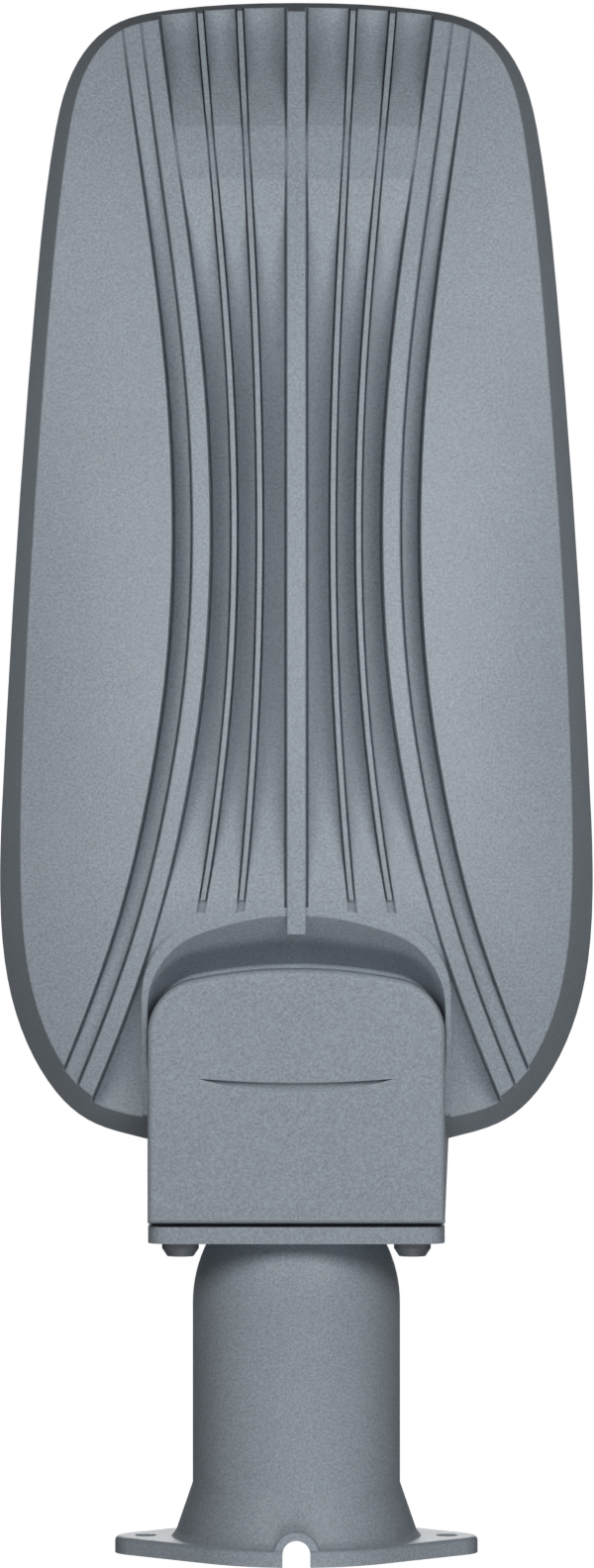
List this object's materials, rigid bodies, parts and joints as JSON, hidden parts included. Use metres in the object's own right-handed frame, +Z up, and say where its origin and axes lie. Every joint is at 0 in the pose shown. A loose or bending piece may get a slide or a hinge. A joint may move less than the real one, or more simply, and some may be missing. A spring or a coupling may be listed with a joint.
{
  "type": "led street light head",
  "caption": "Cast LED street light head with a ribbed crown, glazed optical window below, gear compartment and a socket that slips over a round pole end.",
  "frame": {"origin": "centre of the pole socket's mouth, on the end face of the eared flange", "axes": "+Y along the socket's axis towards the tip of the head, +Z up on the ribbed side, X across"},
  "size_m": [0.1952, 0.5093, 0.0858],
  "materials": {
    "powder_coat": "fine grained silver grey powder coat on die-cast aluminium",
    "seal_rubber": "matt black silicone rubber",
    "stainless": "stainless steel",
    "coated_steel": "grey coated steel screws",
    "black_nylon": "black moulded nylon",
    "terminal_nylon": "off-white moulded nylon",
    "plated_brass": "plated brass",
    "lead_jacket": "silicone insulated leads",
    "gear_plastic": "white moulded case",
    "driver_case": "plain aluminium case",
    "thermal_silicone": "grey silicone pad",
    "board_white": "white solder mask on an aluminium board",
    "led_phosphor": "yellow phosphor over LEDs, unlit",
    "lens_clear": "clear moulded polycarbonate",
    "window_glass": "clear toughened glass"
  },
  "bodies": {
    "root": {"heatsink_housing": "powder_coat", "neck_cover": "powder_coat", "neck_cover_seal": "seal_rubber", "neck_cover_screws": "stainless", "pole_bracket": "powder_coat", "bracket_seal": "seal_rubber", "bracket_screws": "coated_steel", "pole_lock_screws": "stainless", "cable_gland": "black_nylon", "gland_seal": "seal_rubber", "gland_locknut": "black_nylon", "terminal_block": "terminal_nylon", "terminal_screws": "plated_brass", "terminal_fixings": "stainless", "earth_washer": "plated_brass", "earth_screw": "plated_brass", "lead_grommet": "seal_rubber", "supply_leads": "lead_jacket", "surge_protector": "gear_plastic", "driver_leads": "lead_jacket", "led_driver": "driver_case", "driver_screws": "stainless", "gear_cover": "powder_coat", "gear_cover_seal": "seal_rubber", "gear_cover_screws": "stainless", "vent_plug": "black_nylon", "vent_nut": "black_nylon", "thermal_pad": "thermal_silicone", "led_board": "board_white", "board_screws": "stainless", "led_chips": "led_phosphor", "lens_array": "lens_clear", "output_leads": "lead_jacket", "glass_seal": "seal_rubber", "glass_cover": "window_glass", "glass_frame": "powder_coat", "frame_screws": "stainless"}
  },
  "joints": []
}
